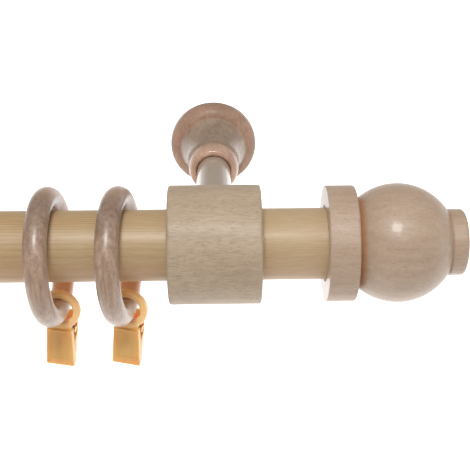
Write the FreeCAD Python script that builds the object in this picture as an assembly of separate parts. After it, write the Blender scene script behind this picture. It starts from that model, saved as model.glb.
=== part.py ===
import FreeCAD, Part
import math
import os

from FreeCAD import Placement, Rotation, Vector

# Wooden curtain rod on two closed-sleeve brackets, with ball finials and clip rings.
# Millimetres. X runs along the rod, Y into the wall (wall face at Y = 0), Z is up.
# The origin is on the wall face, midway between the two wall fixings, at the rod's height.

# Overall layout
BRACKET_SPACING = 600.0
WALL_PROJECTION = 100.0
ROD_DIAMETER = 28.0
ROD_OVERHANG = 51.0
ROD_END_CHAMFER = 0.8

# Bracket sleeve
SLEEVE_DIAMETER = 46.4
SLEEVE_WIDTH = 35.8
SLEEVE_EDGE_ROUND = 1.2
SLEEVE_MOUTH_ROUND = 0.6
ROD_FIT_CLEARANCE = 0.15

# Bracket arm
ARM_FRONT_DIAMETER = 15.6
ARM_REAR_DIAMETER = 14.4
ARM_SOCKET_FLOOR = 2.2
GLUE_CLEARANCE = 0.05

# Wall rose
ROSE_DIAMETER = 39.6
ROSE_RIM_THICKNESS = 3.0
ROSE_BAND_WIDTH = 4.5
ROSE_BAND_HEIGHT = 5.2
ROSE_LENGTH = 34.0
ROSE_LIP_DIAMETER = 22.2
ROSE_LIP_LENGTH = 9.0
ROSE_LIP_CREST_SHARE = 0.55
ROSE_LIP_NOSE_ROUND = 1.0
ROSE_LIP_NOSE_DROP = 0.75
ROSE_THROAT_DEPTH = 0.9
ROSE_FLARE_BEND = 0.325
ROSE_BACK_CHAMFER = 0.3
ROSE_MOUTH_CLEARANCE = 0.08
ROSE_SEAT_LENGTH = 14.0

# Wall fixing: a double-threaded bolt in each bracket, one thread for the arm and one for the wall
BOLT_DIAMETER = 5.0
BOLT_IN_WALL = 44.0
BOLT_IN_ARM = 28.0
BOLT_SHANK_LENGTH = 6.0
BOLT_NECK_LENGTH = 2.0
BOLT_POINT_LENGTH = 6.0
BOLT_TIP_RADIUS = 0.2
BOLT_END_GAP = 1.0
THREAD_PITCH = 2.0
THREAD_DEPTH = 0.55

# Screw that locks the rod in its sleeve, from below
LOCK_SCREW_DIAMETER = 3.0
LOCK_SCREW_HEAD_DIAMETER = 6.0
LOCK_SCREW_HEAD_HEIGHT = 1.8
LOCK_SCREW_BITE = 5.0
LOCK_SCREW_RECESS = 1.0
LOCK_SCREW_POINT_RADIUS = 0.2
LOCK_SCREW_SLOT_WIDTH = 0.8
LOCK_SCREW_SLOT_LENGTH = 3.4
LOCK_SCREW_SLOT_DEPTH = 1.1
SCREW_CLEARANCE = 0.05

# Finial: a collar cap on the rod end, and a ball with a button
COLLAR_DIAMETER = 45.2
COLLAR_WIDTH = 11.4
COLLAR_SOCKET_DEPTH = 8.2
COLLAR_EDGE_ROUND = 1.0
COLLAR_INNER_EDGE_ROUND = 0.3
COLLAR_MOUTH_CHAMFER = 0.9
FINIAL_FIT_CLEARANCE = 0.08
ROD_END_GAP = 0.1
SPIGOT_DIAMETER = 12.0
GROOVE_WIDTH = 0.7
GROOVE_DIAMETER = 31.0
BALL_DIAMETER = 46.6
BALL_CENTRE_FROM_COLLAR = 28.1
BUTTON_DIAMETER = 26.0
BUTTON_END_FROM_BALL_CENTRE = 26.0
BUTTON_EDGE_ROUND = 1.6
BUTTON_GROOVE = 0.5

# Rings
RING_OUTER_DIAMETER = 55.0
RING_INNER_DIAMETER = 38.0
RING_WIDTH = 9.0
HANG_GAP = 0.3
EYE_HANG_GAP = 0.6

# Clip: an eye round the ring, a front jaw, a sprung back jaw and its spring
EYE_PLAY = 2.4
EYE_WALL = 2.8
EYE_THICKNESS = 3.5
EYE_EDGE_ROUND = 0.9
NECK_REACH = 1.6
NECK_INSET = 0.5
NECK_SETBACK = 0.35
JAW_TOP_WIDTH = 10.5
JAW_TIP_WIDTH = 11.8
JAW_TOP_GAP = 0.5
JAW_LENGTH = 17.4
JAW_THICKNESS = 2.7
JAW_FACE_WALL = 1.3
JAW_SIDE_WALL = 1.1
JAW_HEAD_HEIGHT = 4.4
JAW_GAP = 0.3
JAW_EDGE_ROUND = 0.35
FACE_RECESS_DEPTH = 0.15
FACE_BORDER = 1.1
FACE_GRIP_BAND = 3.3
FULCRUM_BEHIND_EYE = 2.6
FULCRUM_BELOW_JAW_TOP = 1.7
BARREL_RADIUS = 1.25
SPRING_GAP = 0.3
SPRING_STRIP = 0.45
SPRING_WIDTH = 10.1
SPRING_OPENING_DEG = 120.0
BACK_JAW_WIDTH = 11.3
BACK_JAW_TIP_THICKNESS = 1.9
BACK_JAW_TIP_HEIGHT = 3.0
BACK_JAW_WALL = 1.0
BACK_JAW_SLOPE = 3.6
BACK_JAW_STEP = 0.4
BACK_WEB_HEIGHT = 1.2
LEVER_THICKNESS = 1.3
LEVER_FOOT = 0.6
LEVER_RING_GAP = 1.95
LEVER_TOP_BEHIND_EYE = 9.2
LEVER_RIDGE_COUNT = 3
LEVER_RIDGE_WIDTH = 0.5
LEVER_RIDGE_HEIGHT = 0.3
LEVER_RIDGE_INSET = 0.8
TOOTH_COUNT = 3
TOOTH_PITCH = 1.2
TOOTH_DEPTH = 0.3

# How each ring lies: place along the rod, turn about the vertical, lean, and its clip's own turn, tilt and
# shift to one side. A ring on a round rod never lies quite square, and its clip turns a little further.
RING_LIES = [
    {"x": -262.0, "turn": 4.0, "lean": 2.0, "clip_turn": 7.0, "clip_tilt": -1.5, "clip_shift": 0.0},
    {"x": -233.5, "turn": -3.0, "lean": -1.5, "clip_turn": 5.0, "clip_tilt": 1.0, "clip_shift": 0.2},
    {"x": -171.0, "turn": 5.5, "lean": 2.5, "clip_turn": -6.0, "clip_tilt": -2.0, "clip_shift": -0.2},
    {"x": -93.0, "turn": -2.5, "lean": -2.0, "clip_turn": 8.0, "clip_tilt": 1.5, "clip_shift": 0.0},
    {"x": 96.0, "turn": 3.0, "lean": -2.5, "clip_turn": 6.0, "clip_tilt": 2.0, "clip_shift": 0.2},
    {"x": 169.0, "turn": -6.0, "lean": 1.5, "clip_turn": -4.0, "clip_tilt": -1.5, "clip_shift": -0.2},
    {"x": 235.8, "turn": -4.0, "lean": -3.5, "clip_turn": -6.0, "clip_tilt": 3.2, "clip_shift": 0.4},
    {"x": 262.8, "turn": -6.2, "lean": -3.5, "clip_turn": -6.8, "clip_tilt": 3.2, "clip_shift": 0.4},
]

ROD_RADIUS = ROD_DIAMETER / 2
SLEEVE_BORE_RADIUS = ROD_RADIUS + ROD_FIT_CLEARANCE
ARM_TIP_RADIUS_FROM_ROD = SLEEVE_BORE_RADIUS + ARM_SOCKET_FLOOR
ROD_HALF_LENGTH = BRACKET_SPACING / 2 + ROD_OVERHANG
RING_INNER_RADIUS = RING_INNER_DIAMETER / 2
RING_TUBE_RADIUS = (RING_OUTER_DIAMETER - RING_INNER_DIAMETER) / 4
RING_MEAN_RADIUS = RING_INNER_RADIUS + RING_TUBE_RADIUS
RING_DROP = RING_INNER_RADIUS - ROD_RADIUS - HANG_GAP
RING_SECTION = max(RING_WIDTH, 2 * RING_TUBE_RADIUS)
EYE_INNER_DIAMETER = RING_SECTION + EYE_PLAY
EYE_OUTER_DIAMETER = EYE_INNER_DIAMETER + 2 * EYE_WALL
EYE_DROP = RING_MEAN_RADIUS + EYE_INNER_DIAMETER / 2 - RING_TUBE_RADIUS - EYE_HANG_GAP
RING_UNDERSIDE_DROP = 2 * RING_TUBE_RADIUS - EYE_INNER_DIAMETER / 2 + EYE_HANG_GAP
JAW_TOP_DROP = EYE_OUTER_DIAMETER / 2 + JAW_TOP_GAP
JAW_TIP_DROP = JAW_TOP_DROP + JAW_LENGTH
FULCRUM_DROP = JAW_TOP_DROP + FULCRUM_BELOW_JAW_TOP
LEVER_TOP_DROP = RING_UNDERSIDE_DROP + LEVER_RING_GAP
JAW_FRONT = -EYE_THICKNESS / 2
JAW_BACK = JAW_FRONT + JAW_THICKNESS
SPRING_INNER_RADIUS = BARREL_RADIUS + SPRING_GAP
SPRING_OUTER_RADIUS = SPRING_INNER_RADIUS + SPRING_STRIP

# Two points closer than this are one
TOUCHING = 1e-6

# A cutting shape stands this far proud of the face that it cuts
CUT_MARGIN = 1.0

X_AXIS = Vector(1, 0, 0)
Y_AXIS = Vector(0, 1, 0)
Z_AXIS = Vector(0, 0, 1)


class Outline:
    """A closed outline of straight lines and arcs, in two coordinates that place() turns into 3-D."""

    def __init__(self, place, start):
        self.place = place
        self.start = start
        self.last = start
        self.edges = []

    def line(self, *points):
        for point in points:
            if math.dist(self.last, point) > TOUCHING:
                self.edges.append(Part.LineSegment(self.place(*self.last), self.place(*point)).toShape())
            self.last = point
        return self

    def arc(self, middle, end):
        curve = Part.Arc(self.place(*self.last), self.place(*middle), self.place(*end))
        self.edges.append(curve.toShape())
        self.last = end
        return self

    def corner(self, centre, radius, from_deg, to_deg):
        """Arc about a centre; angles run from the first coordinate towards the second."""
        def at(degrees):
            angle = math.radians(degrees)
            return (centre[0] + radius * math.cos(angle), centre[1] + radius * math.sin(angle))
        self.line(at(from_deg))
        return self.arc(at((from_deg + to_deg) / 2), at(to_deg))

    def face(self):
        self.line(self.start)
        return Part.Face(Part.Wire(self.edges))


def box_between(low, high):
    return Part.makeBox(high[0] - low[0], high[1] - low[1], high[2] - low[2], Vector(*low))


def along_rod(axial, radial):
    return Vector(axial, 0, radial)


def turned_on_rod(outline):
    """Solid turned about the rod's axis from an outline in (along the rod, radius)."""
    solid = outline.face().revolve(Vector(0, 0, 0), X_AXIS, 360)
    solid.translate(Vector(0, -WALL_PROJECTION, 0))
    return solid


def from_wall(distance, radial):
    return Vector(radial, -distance, 0)


def turned_on_arm(outline):
    """Solid turned about the arm's axis from an outline in (distance from the wall, radius)."""
    return outline.face().revolve(Vector(0, 0, 0), Y_AXIS, 360)


def pin_hole(radius, start, direction, length):
    return Part.makeCylinder(radius, length, start, direction)


# ---- Rod ----

def make_rod():
    chamfer = ROD_END_CHAMFER
    end = ROD_HALF_LENGTH
    outline = Outline(along_rod, (-end, 0))
    outline.line((-end, ROD_RADIUS - chamfer), (-end + chamfer, ROD_RADIUS))
    outline.line((end - chamfer, ROD_RADIUS), (end, ROD_RADIUS - chamfer), (end, 0))
    rod = turned_on_rod(outline)
    for side in (-1, 1):
        start = Vector(side * BRACKET_SPACING / 2, -WALL_PROJECTION, -ROD_RADIUS - CUT_MARGIN)
        pilot_radius = LOCK_SCREW_DIAMETER / 2 + SCREW_CLEARANCE
        pilot_length = CUT_MARGIN + LOCK_SCREW_BITE + SCREW_CLEARANCE
        rod = rod.cut(pin_hole(pilot_radius, start, Z_AXIS, pilot_length))
    return rod


# ---- Bracket ----

def make_sleeve():
    half = SLEEVE_WIDTH / 2
    outer = SLEEVE_DIAMETER / 2
    bore = SLEEVE_BORE_RADIUS
    edge = SLEEVE_EDGE_ROUND
    mouth = SLEEVE_MOUTH_ROUND
    outline = Outline(along_rod, (-half, bore + mouth))
    outline.corner((-half + edge, outer - edge), edge, 180, 90)
    outline.corner((half - edge, outer - edge), edge, 90, 0)
    outline.corner((half - mouth, bore + mouth), mouth, 0, -90)
    outline.corner((-half + mouth, bore + mouth), mouth, -90, -180)
    sleeve = turned_on_rod(outline)
    socket_radius = ARM_FRONT_DIAMETER / 2 + GLUE_CLEARANCE
    socket_start = Vector(0, -WALL_PROJECTION + ARM_TIP_RADIUS_FROM_ROD, 0)
    sleeve = sleeve.cut(pin_hole(socket_radius, socket_start, Y_AXIS, SLEEVE_DIAMETER))
    foot = Vector(0, -WALL_PROJECTION, -SLEEVE_DIAMETER / 2 - CUT_MARGIN)
    screw_radius = LOCK_SCREW_DIAMETER / 2 + SCREW_CLEARANCE
    head_radius = LOCK_SCREW_HEAD_DIAMETER / 2 + SCREW_CLEARANCE
    sleeve = sleeve.cut(pin_hole(screw_radius, foot, Z_AXIS, SLEEVE_DIAMETER / 2))
    counterbore = CUT_MARGIN + LOCK_SCREW_RECESS
    sleeve = sleeve.cut(pin_hole(head_radius, foot, Z_AXIS, counterbore))
    cone_start = foot + Vector(0, 0, counterbore)
    cone = Part.makeCone(head_radius, screw_radius, LOCK_SCREW_HEAD_HEIGHT, cone_start, Z_AXIS)
    return sleeve.cut(cone)


def make_lock_screw():
    """Countersunk screw with a cross recess, under the sleeve."""
    head_bottom = -SLEEVE_DIAMETER / 2 + LOCK_SCREW_RECESS
    foot = Vector(0, -WALL_PROJECTION, head_bottom)
    head_radius = LOCK_SCREW_HEAD_DIAMETER / 2
    shank_radius = LOCK_SCREW_DIAMETER / 2
    head = Part.makeCone(head_radius, shank_radius, LOCK_SCREW_HEAD_HEIGHT, foot, Z_AXIS)
    shank_top = -ROD_RADIUS + LOCK_SCREW_BITE
    point_length = LOCK_SCREW_DIAMETER
    shank_length = shank_top - head_bottom - point_length
    shank = Part.makeCylinder(shank_radius, shank_length, foot, Z_AXIS)
    point_start = foot + Vector(0, 0, shank_length)
    point = Part.makeCone(shank_radius, LOCK_SCREW_POINT_RADIUS, point_length, point_start, Z_AXIS)
    screw = head.fuse([shank, point]).removeSplitter()
    slot_half = LOCK_SCREW_SLOT_WIDTH / 2
    slot_reach = LOCK_SCREW_SLOT_LENGTH / 2
    for angle in (0, 90):
        slot = box_between((-slot_reach, -slot_half, -CUT_MARGIN), (slot_reach, slot_half, LOCK_SCREW_SLOT_DEPTH))
        slot.rotate(Vector(0, 0, 0), Z_AXIS, angle)
        slot.translate(foot)
        screw = screw.cut(slot)
    return screw


def arm_radius_at(distance):
    """The arm's radius between its seat in the rose and the sleeve, at a distance from the wall."""
    taper_end = WALL_PROJECTION - SLEEVE_DIAMETER / 2
    share = (distance - ROSE_SEAT_LENGTH) / (taper_end - ROSE_SEAT_LENGTH)
    return (ARM_REAR_DIAMETER + (ARM_FRONT_DIAMETER - ARM_REAR_DIAMETER) * share) / 2


def make_arm():
    """Beech dowel that thins towards the wall; its front end is glued into the sleeve."""
    front = WALL_PROJECTION - ARM_TIP_RADIUS_FROM_ROD
    front_radius = ARM_FRONT_DIAMETER / 2
    rear_radius = ARM_REAR_DIAMETER / 2
    taper_end = WALL_PROJECTION - SLEEVE_DIAMETER / 2
    outline = Outline(from_wall, (0, 0))
    outline.line((0, rear_radius), (ROSE_SEAT_LENGTH, rear_radius))
    outline.line((taper_end, front_radius), (front, front_radius), (front, 0))
    arm = turned_on_arm(outline)
    hole_start = Vector(0, CUT_MARGIN, 0)
    hole = pin_hole(BOLT_DIAMETER / 2, hole_start, -Y_AXIS, CUT_MARGIN + BOLT_IN_ARM + BOLT_END_GAP)
    return arm.cut(hole)


def make_rose():
    """Turned wall rose: a rim, a rounded band, a hollow flare and a lip round the arm."""
    outer = ROSE_DIAMETER / 2
    rim = ROSE_RIM_THICKNESS
    shoulder = outer - ROSE_BAND_WIDTH
    flare_start = rim + ROSE_BAND_HEIGHT
    lip = ROSE_LIP_DIAMETER / 2
    throat = lip - ROSE_THROAT_DEPTH
    lip_start = ROSE_LENGTH - ROSE_LIP_LENGTH
    mouth = arm_radius_at(ROSE_LENGTH) + ROSE_MOUTH_CLEARANCE
    seat = ARM_REAR_DIAMETER / 2 + GLUE_CLEARANCE
    diagonal = math.sqrt(0.5)
    bend = ROSE_FLARE_BEND
    nose_round = ROSE_LIP_NOSE_ROUND
    band_middle = (rim + ROSE_BAND_HEIGHT * diagonal, shoulder + ROSE_BAND_WIDTH * diagonal)
    flare_middle = (flare_start + (lip_start - flare_start) * bend, throat + (shoulder - throat) * bend)
    lip_top = (lip_start + ROSE_LIP_LENGTH * ROSE_LIP_CREST_SHARE, lip)
    nose = (ROSE_LENGTH, (mouth + lip) / 2)
    nose_outer = (ROSE_LENGTH - nose_round, lip - ROSE_LIP_NOSE_DROP)
    nose_inner = (ROSE_LENGTH - nose_round, mouth)
    outer_bulge = (ROSE_LENGTH - nose_round / 4, nose_outer[1] - nose_round / 2)
    inner_bulge = (ROSE_LENGTH - nose_round / 4, mouth + nose_round / 3)
    outline = Outline(from_wall, (0, seat))
    outline.line((0, outer - ROSE_BACK_CHAMFER), (ROSE_BACK_CHAMFER, outer), (rim, outer))
    outline.arc(band_middle, (flare_start, shoulder))
    outline.arc(flare_middle, (lip_start, throat))
    outline.arc(lip_top, nose_outer)
    outline.arc(outer_bulge, nose)
    outline.arc(inner_bulge, nose_inner)
    outline.line((ROSE_SEAT_LENGTH, mouth), (ROSE_SEAT_LENGTH, seat))
    return turned_on_arm(outline)


def threaded(outline, start, end, crest, root):
    """Adds V-shaped ridges from one depth to another, both measured from the wall face."""
    for turn in range(int((start - end) / THREAD_PITCH)):
        ridge = start - turn * THREAD_PITCH
        outline.line((ridge - THREAD_PITCH / 2, crest), (ridge - THREAD_PITCH, root))


def make_hanger_bolt():
    """Headless bolt with a thread at both ends; one end is in the arm, the other goes into the wall."""
    crest = BOLT_DIAMETER / 2
    root = crest - THREAD_DEPTH
    outline = Outline(from_wall, (BOLT_IN_ARM, 0))
    outline.line((BOLT_IN_ARM, root))
    threaded(outline, BOLT_IN_ARM, BOLT_NECK_LENGTH, crest, root)
    outline.line((BOLT_NECK_LENGTH, root), (0, root), (0, crest), (-BOLT_SHANK_LENGTH, crest))
    outline.line((-BOLT_SHANK_LENGTH, root))
    threaded(outline, -BOLT_SHANK_LENGTH, BOLT_POINT_LENGTH - BOLT_IN_WALL, crest, root)
    outline.line((-BOLT_IN_WALL, BOLT_TIP_RADIUS), (-BOLT_IN_WALL, 0))
    return turned_on_arm(outline)


# ---- Finial, drawn for the +X end ----

def collar_face():
    """Where the collar's inner face stands, measured from the bracket's centre."""
    return BRACKET_SPACING / 2 + ROD_OVERHANG + ROD_END_GAP - COLLAR_SOCKET_DEPTH


def make_finial_collar():
    near = collar_face()
    far = near + COLLAR_WIDTH
    outer = COLLAR_DIAMETER / 2
    socket = ROD_RADIUS + FINIAL_FIT_CLEARANCE
    floor = near + COLLAR_SOCKET_DEPTH
    spigot = SPIGOT_DIAMETER / 2 + GLUE_CLEARANCE
    edge = COLLAR_EDGE_ROUND
    inner_edge = COLLAR_INNER_EDGE_ROUND
    chamfer = COLLAR_MOUTH_CHAMFER
    outline = Outline(along_rod, (near, socket + chamfer))
    outline.corner((near + inner_edge, outer - inner_edge), inner_edge, 180, 90)
    outline.corner((far - edge, outer - edge), edge, 90, 0)
    outline.line((far, spigot), (floor, spigot), (floor, socket), (near + chamfer, socket))
    return turned_on_rod(outline)


def make_finial_ball():
    """Ball with a glued spigot towards the collar, a grooved neck and a flat button."""
    seat = collar_face() + COLLAR_WIDTH
    spigot_end = collar_face() + COLLAR_SOCKET_DEPTH
    centre = collar_face() + BALL_CENTRE_FROM_COLLAR
    ball = BALL_DIAMETER / 2
    neck = GROOVE_DIAMETER / 2
    spigot = SPIGOT_DIAMETER / 2
    button = BUTTON_DIAMETER / 2
    near_face = seat + GROOVE_WIDTH
    near_radius = math.sqrt(ball ** 2 - (centre - near_face) ** 2)
    waist = button - BUTTON_GROOVE
    far_face = centre + math.sqrt(ball ** 2 - waist ** 2)
    end = centre + BUTTON_END_FROM_BALL_CENTRE
    edge = BUTTON_EDGE_ROUND
    outline = Outline(along_rod, (spigot_end, 0))
    outline.line((spigot_end, spigot), (seat, spigot), (seat, neck), (near_face, neck), (near_face, near_radius))
    outline.arc((centre, ball), (far_face, waist))
    outline.line((far_face + BUTTON_GROOVE, button))
    outline.corner((end - edge, button - edge), edge, 90, 0)
    outline.line((end, 0))
    return turned_on_rod(outline)


# ---- Ring and clip, drawn about the ring's centre and the eye's centre ----

def make_ring():
    """Ring of oval section; the oval's longer half is given first, whichever way it lies."""
    centre = Vector(0, 0, RING_MEAN_RADIUS)
    wide_end = centre + Vector(RING_WIDTH / 2, 0, 0)
    deep_end = centre + Vector(0, 0, RING_TUBE_RADIUS)
    wider_than_deep = RING_WIDTH / 2 > RING_TUBE_RADIUS
    ends = (wide_end, deep_end) if wider_than_deep else (deep_end, wide_end)
    section = Part.Ellipse(*ends, centre).toShape()
    return Part.Face(Part.Wire([section])).revolve(Vector(0, 0, 0), X_AXIS, 360)


def eye_solid():
    inner = EYE_INNER_DIAMETER / 2
    outer = EYE_OUTER_DIAMETER / 2
    half = EYE_THICKNESS / 2
    edge = EYE_EDGE_ROUND
    outline = Outline(from_wall, (-half + edge, inner))
    outline.corner((half - edge, inner + edge), edge, -90, 0)
    outline.corner((half - edge, outer - edge), edge, 0, 90)
    outline.corner((-half + edge, outer - edge), edge, 90, 180)
    outline.corner((-half + edge, inner + edge), edge, 180, 270)
    return turned_on_arm(outline)


def plate(points, front, back):
    """Flat plate from an (x, z) outline, between two depths."""
    wire = Part.makePolygon([Vector(x, front, z) for x, z in points + points[:1]])
    return Part.Face(wire).extrude(Vector(0, back - front, 0))


def side_profile(points, width):
    """Prism from a (y, z) outline, centred across the clip."""
    wire = Part.makePolygon([Vector(-width / 2, y, z) for y, z in points + points[:1]])
    return Part.Face(wire).extrude(Vector(width, 0, 0))


def make_clip_front():
    """Eye, neck and front jaw in one moulding, hollow behind and with a shallow panel in front."""
    top = -JAW_TOP_DROP
    tip = -JAW_TIP_DROP
    half_top = JAW_TOP_WIDTH / 2
    half_tip = JAW_TIP_WIDTH / 2
    jaw = plate([(-half_top, top), (half_top, top), (half_tip, tip), (-half_tip, tip)], JAW_FRONT, JAW_BACK)
    outer_edges = [edge for edge in jaw.Edges if abs(edge.CenterOfMass.y - JAW_FRONT) < TOUCHING]
    jaw = jaw.makeFillet(JAW_EDGE_ROUND, outer_edges)

    recess_half = half_top - FACE_BORDER
    recess_top = top - FACE_BORDER
    recess_tip = tip + FACE_GRIP_BAND
    recess_floor = JAW_FRONT + FACE_RECESS_DEPTH
    jaw = jaw.cut(box_between((-recess_half, JAW_FRONT - CUT_MARGIN, recess_tip),
                              (recess_half, recess_floor, recess_top)))

    pocket_half = half_top - JAW_SIDE_WALL
    pocket_front = JAW_FRONT + JAW_FACE_WALL
    jaw = jaw.cut(box_between((-pocket_half, pocket_front, recess_tip),
                              (pocket_half, JAW_BACK + CUT_MARGIN, top - JAW_HEAD_HEIGHT)))
    for index in range(TOOTH_COUNT):
        height = tip + TOOTH_PITCH * (index + 0.5)
        points = [(JAW_BACK + CUT_MARGIN, height - TOOTH_DEPTH - CUT_MARGIN), (JAW_BACK - TOOTH_DEPTH, height),
                  (JAW_BACK + CUT_MARGIN, height + TOOTH_DEPTH + CUT_MARGIN)]
        jaw = jaw.cut(side_profile(points, JAW_TIP_WIDTH + CUT_MARGIN))

    neck_top = -EYE_OUTER_DIAMETER / 2 + NECK_REACH
    neck_foot = top - NECK_INSET
    neck_half = half_top - NECK_INSET
    neck_points = [(-neck_half, neck_top), (neck_half, neck_top), (neck_half, neck_foot), (-neck_half, neck_foot)]
    neck = plate(neck_points, JAW_FRONT + NECK_SETBACK, EYE_THICKNESS / 2 - NECK_SETBACK)
    hole_radius = EYE_INNER_DIAMETER / 2 + EYE_EDGE_ROUND
    tube_hole = Part.makeCylinder(hole_radius, 2 * EYE_THICKNESS, Vector(0, -EYE_THICKNESS, 0), Y_AXIS)
    body = eye_solid().fuse([neck.cut(tube_hole), jaw])
    saddle_start = Vector(-JAW_TIP_WIDTH, FULCRUM_BEHIND_EYE, -FULCRUM_DROP)
    saddle = Part.makeCylinder(SPRING_OUTER_RADIUS, 2 * JAW_TIP_WIDTH, saddle_start, X_AXIS)
    return body.cut(saddle).removeSplitter()


def make_clip_back():
    """Back jaw that rocks on its barrel, with the thumb lever above."""
    fy = FULCRUM_BEHIND_EYE
    fz = -FULCRUM_DROP
    inner = fy + SPRING_OUTER_RADIUS + SPRING_GAP
    outer = inner + LEVER_THICKNESS
    grip = JAW_BACK + JAW_GAP
    tip = -JAW_TIP_DROP
    heel = SPRING_OUTER_RADIUS + SPRING_GAP
    lever_y = LEVER_TOP_BEHIND_EYE
    lever_z = -LEVER_TOP_DROP
    lever_foot = fz + heel - LEVER_FOOT
    points = [
        (grip, tip),
        (grip, fz - heel - BACK_JAW_SLOPE),
        (inner, fz - heel + BACK_JAW_STEP),
        (inner, lever_foot),
        (lever_y - LEVER_THICKNESS, lever_z),
        (lever_y, lever_z),
        (outer, lever_foot),
        (outer, fz - heel),
        (grip + BACK_JAW_TIP_THICKNESS, tip + BACK_JAW_TIP_HEIGHT),
        (grip + BACK_JAW_TIP_THICKNESS, tip),
    ]
    jaw = side_profile(points, BACK_JAW_WIDTH)
    barrel_start = Vector(-BACK_JAW_WIDTH / 2, fy, fz)
    barrel = Part.makeCylinder(BARREL_RADIUS, BACK_JAW_WIDTH, barrel_start, X_AXIS)
    half_web = BACK_WEB_HEIGHT / 2
    web = box_between((-BACK_JAW_WIDTH / 2, fy, fz - half_web),
                      (BACK_JAW_WIDTH / 2, inner + LEVER_THICKNESS / 2, fz + half_web))
    solid = jaw.fuse([barrel, web])
    pocket_top = fz - heel + BACK_JAW_STEP / 2
    far = outer + CUT_MARGIN
    pocket = [
        (grip + BACK_JAW_WALL, tip + FACE_GRIP_BAND),
        (grip + BACK_JAW_WALL, fz - heel - BACK_JAW_SLOPE),
        (inner + BACK_JAW_WALL, pocket_top),
        (far, pocket_top),
        (far, tip + FACE_GRIP_BAND),
    ]
    solid = solid.cut(side_profile(pocket, BACK_JAW_WIDTH - 2 * JAW_SIDE_WALL))
    lever_low = Vector(0, outer, lever_foot)
    lever_high = Vector(0, lever_y, lever_z)
    rise = lever_high - lever_low
    ridge_half = BACK_JAW_WIDTH / 2 - LEVER_RIDGE_INSET
    for index in range(LEVER_RIDGE_COUNT):
        place = lever_low + rise * ((index + 1) / (LEVER_RIDGE_COUNT + 1))
        low = (-ridge_half, place.y - LEVER_THICKNESS / 3, place.z - LEVER_RIDGE_WIDTH / 2)
        high = (ridge_half, place.y + LEVER_RIDGE_HEIGHT, place.z + LEVER_RIDGE_WIDTH / 2)
        solid = solid.fuse(box_between(low, high))
    return solid.removeSplitter()


def make_clip_spring():
    """C-shaped strip of spring steel round the barrel, open towards the back jaw."""
    half_open = SPRING_OPENING_DEG / 2
    inner = SPRING_INNER_RADIUS
    outer = SPRING_OUTER_RADIUS

    def across(y, z):
        return Vector(-SPRING_WIDTH / 2, FULCRUM_BEHIND_EYE + y, -FULCRUM_DROP + z)

    def at(radius, degrees):
        angle = math.radians(degrees)
        return (radius * math.cos(angle), radius * math.sin(angle))

    outline = Outline(across, at(outer, half_open))
    outline.arc(at(outer, 180), at(outer, -half_open))
    outline.line(at(inner, -half_open))
    outline.arc(at(inner, 180), at(inner, half_open))
    return outline.face().extrude(Vector(SPRING_WIDTH, 0, 0))


def ring_placement(lie):
    turn = Rotation(Z_AXIS, lie["turn"])
    lean = Rotation(Y_AXIS, lie["lean"])
    return Placement(Vector(lie["x"], -WALL_PROJECTION, -RING_DROP), turn.multiply(lean))


def clip_placement(lie):
    """The eye hangs from the ring's lowest point; friction holds the clip a little askew."""
    eye = ring_placement(lie).multVec(Vector(lie["clip_shift"], 0, -EYE_DROP))
    turn = Rotation(Z_AXIS, lie["turn"] + lie["clip_turn"])
    return Placement(eye, turn.multiply(Rotation(Y_AXIS, lie["clip_tilt"])))


def placed(shape, placement):
    copy = shape.copy()
    copy.Placement = placement.multiply(copy.Placement)
    return copy


def mirrored_to_left(shape):
    return shape.mirror(Vector(0, 0, 0), X_AXIS)


def export(name, shape):
    solids = shape.Solids
    if len(solids) != 1 or not shape.isValid():
        raise RuntimeError(name + ": expected one valid solid, got " + str(len(solids)))
    solids[0].exportStep("parts/" + name + ".step")


def build():
    os.makedirs("parts", exist_ok=True)
    export("rod", make_rod())

    bracket = {
        "sleeve": make_sleeve(),
        "lock_screw": make_lock_screw(),
        "arm": make_arm(),
        "rose": make_rose(),
        "hanger_bolt": make_hanger_bolt(),
    }
    for side, sign in (("left", -1), ("right", 1)):
        place = Placement(Vector(sign * BRACKET_SPACING / 2, 0, 0), Rotation())
        for name, shape in bracket.items():
            export(name + "_" + side, placed(shape, place))

    for name, shape in (("finial_collar", make_finial_collar()), ("finial_ball", make_finial_ball())):
        export(name + "_right", shape)
        export(name + "_left", mirrored_to_left(shape))

    ring = make_ring()
    clip = {
        "clip_front": make_clip_front(),
        "clip_back": make_clip_back(),
        "clip_spring": make_clip_spring(),
    }
    for number, lie in enumerate(RING_LIES, start=1):
        export("ring_" + str(number), placed(ring, ring_placement(lie)))
        for name, shape in clip.items():
            export(name + "_" + str(number), placed(shape, clip_placement(lie)))


build()
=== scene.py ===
"""Looks for a wooden curtain rod on two brackets, with ball finials, rings and spring clips."""

import math

import bmesh
import bpy
from bpy.props import FloatProperty, FloatVectorProperty, IntProperty, PointerProperty
from mathutils import Euler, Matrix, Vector


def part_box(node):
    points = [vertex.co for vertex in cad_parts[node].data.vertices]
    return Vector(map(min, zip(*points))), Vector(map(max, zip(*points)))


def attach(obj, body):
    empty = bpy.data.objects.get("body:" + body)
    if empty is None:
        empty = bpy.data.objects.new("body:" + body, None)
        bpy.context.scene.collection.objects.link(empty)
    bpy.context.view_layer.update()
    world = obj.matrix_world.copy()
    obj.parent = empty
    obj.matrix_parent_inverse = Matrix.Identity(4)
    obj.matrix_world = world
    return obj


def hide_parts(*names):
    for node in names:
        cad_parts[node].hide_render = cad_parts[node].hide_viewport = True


bl_info = {
    "name": "Curtain rod looks",
    "version": (1, 0, 0),
    "blender": (4, 5, 0),
    "location": "3D View > Sidebar > Curtain rod",
    "description": "Dresses the rod, brackets, finials, rings and clips in turned wood, plastic and steel",
    "category": "Object",
}

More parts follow.
